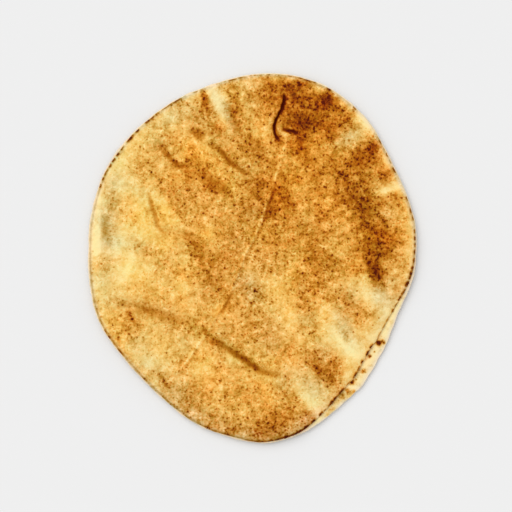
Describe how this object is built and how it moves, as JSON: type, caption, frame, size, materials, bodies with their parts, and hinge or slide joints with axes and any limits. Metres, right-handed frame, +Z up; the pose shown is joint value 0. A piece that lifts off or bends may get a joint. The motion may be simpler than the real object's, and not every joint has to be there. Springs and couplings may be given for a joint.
{
  "type": "pita bread",
  "caption": "Large thin closed flatbread with a low seam at the rim, puffs, a pinched fold and long creases, browned in patches.",
  "frame": {"origin": "under the middle of the bread's bounding box, on the surface that it rests on", "axes": "+Z up through the browned top, +Y along the longer diameter, +X along the shorter one"},
  "size_m": [0.263, 0.2964, 0.0105],
  "materials": {
    "crust": "dry matt baked crust, golden with brown patches"
  },
  "bodies": {
    "root": {"pita_bread": "crust"}
  },
  "joints": []
}
